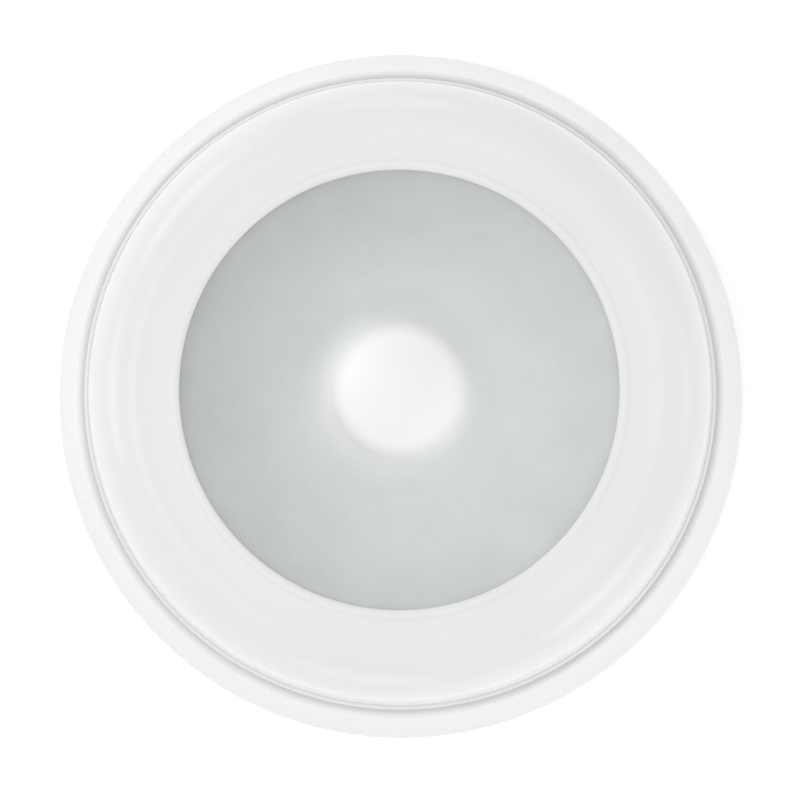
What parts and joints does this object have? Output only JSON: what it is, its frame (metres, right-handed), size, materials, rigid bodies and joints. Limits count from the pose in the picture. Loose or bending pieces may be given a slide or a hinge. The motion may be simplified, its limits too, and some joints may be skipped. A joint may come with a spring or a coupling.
{
  "type": "heat detector",
  "caption": "Round ceiling heat detector: domed white plastic head with a dished metal heat plate and central boss, twist-locked on a flared wiring base.",
  "frame": {"origin": "centre of the mounting face, on the detector's axis; the detector lies on that face with its heat plate up", "axes": "+Z out of the detector's face, away from the ceiling: on a ceiling +Z points down into the room and on a wall it points out. +X runs along the two slotted fixing holes, +Y along the two round ones."},
  "size_m": [0.1, 0.1, 0.0391],
  "materials": {
    "white_abs": "satin, fine spark-eroded texture",
    "chassis_abs": "satin",
    "pressed_aluminium": "satin, cloudy, lightly grained",
    "zinc_steel": "bright zinc plate",
    "terminal_brass": "nickel-free spring brass, dull",
    "bimetal": "rolled, satin",
    "retainer_brass": "spun, satin",
    "phenolic": "moulded, dull",
    "natural_nylon": "moulded, translucent look",
    "leaf_bronze": "rolled spring strip",
    "silver_contact": "turned silver",
    "pin_ceramic": "unglazed",
    "black_rubber": "dull",
    "calibration_brass": "turned"
  },
  "bodies": {
    "base": {"base_shell": "white_abs", "terminal_clip_1": "terminal_brass", "terminal_clip_2": "terminal_brass", "terminal_clip_3": "terminal_brass", "terminal_clip_4": "terminal_brass", "wire_clamps": "zinc_steel", "terminal_screws": "zinc_steel"},
    "head": {"chassis": "chassis_abs", "front_cover": "white_abs", "cover_screws": "zinc_steel", "cover_seal": "black_rubber", "heat_plate": "pressed_aluminium", "plate_gasket": "black_rubber", "plate_clamp_ring": "zinc_steel", "clamp_ring_screws": "zinc_steel", "bimetal_disc": "bimetal", "bimetal_retainer": "retainer_brass", "contact_block": "phenolic", "block_screws": "zinc_steel", "contact_bridge": "natural_nylon", "bridge_screws": "zinc_steel", "leaf_link_bar": "terminal_brass", "leaf_screw": "zinc_steel", "contact_leaf": "leaf_bronze", "fixed_contact_bar": "terminal_brass", "fixed_contact_screw": "zinc_steel", "fixed_contact_tip": "silver_contact", "calibration_screw": "calibration_brass", "contact_blade_1": "terminal_brass", "contact_blade_2": "terminal_brass", "contact_blade_3": "terminal_brass", "contact_blade_4": "terminal_brass", "blade_rivets": "retainer_brass"},
    "push_pin": {"push_pin": "pin_ceramic"},
    "moving_contact": {"moving_contact_tip": "silver_contact"}
  },
  "joints": [
    {"name": "head_twist", "type": "hinge", "parent": "base", "child": "head", "pos_m": [0, 0, 0], "axis": [0, 0, 1], "range_deg": [0, 20]},
    {"name": "pin_stroke", "type": "slide", "parent": "head", "child": "push_pin", "axis": [0, 0, -1], "range_m": [0, 0.0006], "stiffness_N_per_m": 200, "deforming": ["bimetal_disc"]},
    {"name": "contact_close", "type": "slide", "parent": "head", "child": "moving_contact", "axis": [0, 0, -1], "range_m": [0, 0.000975], "deforming": ["contact_leaf"]}
  ],
  "couplings": [
    {"joint": "contact_close", "follows": "pin_stroke", "ratio": 1.625}
  ]
}
